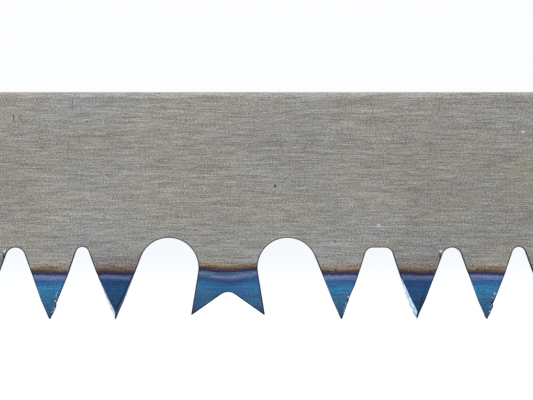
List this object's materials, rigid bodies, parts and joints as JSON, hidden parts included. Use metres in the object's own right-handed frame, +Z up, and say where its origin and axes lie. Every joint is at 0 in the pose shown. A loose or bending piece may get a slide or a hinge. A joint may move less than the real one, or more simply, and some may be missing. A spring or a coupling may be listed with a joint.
{
  "type": "bow saw",
  "caption": "Tubular steel bow saw for green wood: raker-tooth blade held in a flat-oval bow, stretched by an over-centre lever behind the grip.",
  "frame": {"origin": "middle of the grip, on the centreline of the bow's rear leg", "axes": "+X forward along the blade, +Y to the left across the blade's thickness, +Z up from the teeth to the bow"},
  "size_m": [0.6838, 0.028, 0.2471],
  "materials": {
    "blade_steel": "ground strip with fine lengthwise lines, teeth blued by hardening",
    "bow_enamel": "glossy green enamel",
    "black_plastic": "moulded, matt",
    "grip_plastic": "fine spark-eroded texture",
    "soft_rubber": "soft, matt",
    "zinc_steel": "bright zinc plate",
    "rivet_steel": "headed steel, zinc plated",
    "screw_steel": "zinc plated",
    "cast_fork": "fine cast, dark phosphate",
    "pin_steel": "turned and ground",
    "clip_steel": "spring steel, oil blacked"
  },
  "bodies": {
    "frame": {"bow_tube": "bow_enamel", "leg_plug": "black_plastic", "fork_plate_left": "zinc_steel", "fork_plate_right": "zinc_steel", "fork_rivets": "rivet_steel", "pivot_rivets": "rivet_steel", "nose_fork": "cast_fork", "nose_rivets": "rivet_steel", "grip_shell_left": "grip_plastic", "grip_shell_right": "grip_plastic", "grip_inlay_left": "soft_rubber", "grip_inlay_right": "soft_rubber", "grip_screws": "screw_steel", "grip_nuts": "screw_steel", "knuckle_guard": "grip_plastic", "guard_screws": "screw_steel"},
    "lever": {"tension_lever": "zinc_steel", "lever_pad": "grip_plastic", "lever_pad_rivets": "rivet_steel", "lever_buffer": "soft_rubber", "link_pin": "pin_steel", "link_washers": "zinc_steel"},
    "link": {"link_plate_left": "zinc_steel", "link_plate_right": "zinc_steel", "blade_rear_pin": "pin_steel", "rear_pin_clip": "clip_steel"},
    "blade": {"blade": "blade_steel", "blade_front_pin": "pin_steel", "front_pin_clip": "clip_steel"}
  },
  "joints": [
    {"name": "lever_pivot", "type": "hinge", "parent": "frame", "child": "lever", "pos_m": [-0.006, 0, -0.096], "axis": [0, -1, 0], "range_deg": [0, 110]},
    {"name": "link_pivot", "type": "hinge", "parent": "lever", "child": "link", "pos_m": [-0.01585, 0, -0.09426], "axis": [0, -1, 0], "range_deg": [-85.9, 0.1]},
    {"name": "blade_pivot", "type": "hinge", "parent": "link", "child": "blade", "pos_m": [0.02915, 0, -0.09426], "axis": [0, -1, 0], "range_deg": [-24.3, 0.1]}
  ],
  "couplings": [
    {"joint": "link_pivot", "follows": "lever_pivot", "ratio": -0.78},
    {"joint": "blade_pivot", "follows": "lever_pivot", "ratio": -0.22}
  ]
}
